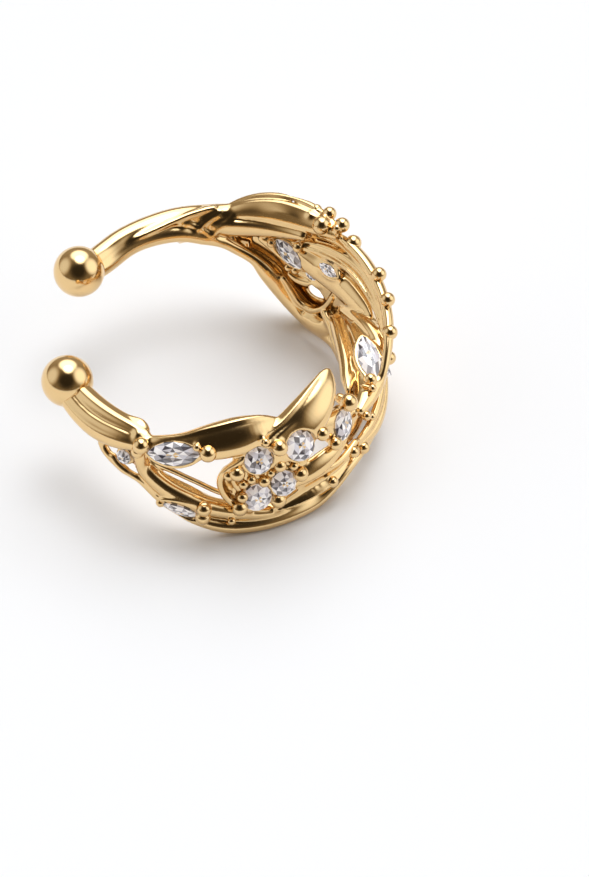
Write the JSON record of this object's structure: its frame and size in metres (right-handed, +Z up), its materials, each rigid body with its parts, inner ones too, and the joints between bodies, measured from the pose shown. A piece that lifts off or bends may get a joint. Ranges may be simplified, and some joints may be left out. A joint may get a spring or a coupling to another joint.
{
  "type": "ear cuff",
  "caption": "Open ear cuff: a crescent of woven gold leaves and strands between two ball ends, set with clear stones and small grains.",
  "frame": {"origin": "centre of the footprint, on the surface that the cuff lies on", "axes": "+Z up along the ring's axis, the mouth faces -X, the stone cluster is on the -Y side"},
  "size_m": [0.014, 0.0142, 0.0064],
  "materials": {
    "gold": "polished gold plate",
    "clear_stone": "faceted, clear"
  },
  "bodies": {
    "root": {"cuff_body": "gold", "stone_near_marquise": "clear_stone", "stone_round_1": "clear_stone", "stone_round_2": "clear_stone", "stone_round_3": "clear_stone", "stone_round_4": "clear_stone", "stone_oval": "clear_stone", "stone_rail_marquise": "clear_stone", "stone_loop": "clear_stone", "stone_back_marquise": "clear_stone", "stone_inner_kite": "clear_stone", "stone_groove": "clear_stone", "stone_top_marquise": "clear_stone", "stone_far_marquise": "clear_stone", "stone_far_low_marquise": "clear_stone"}
  },
  "joints": []
}
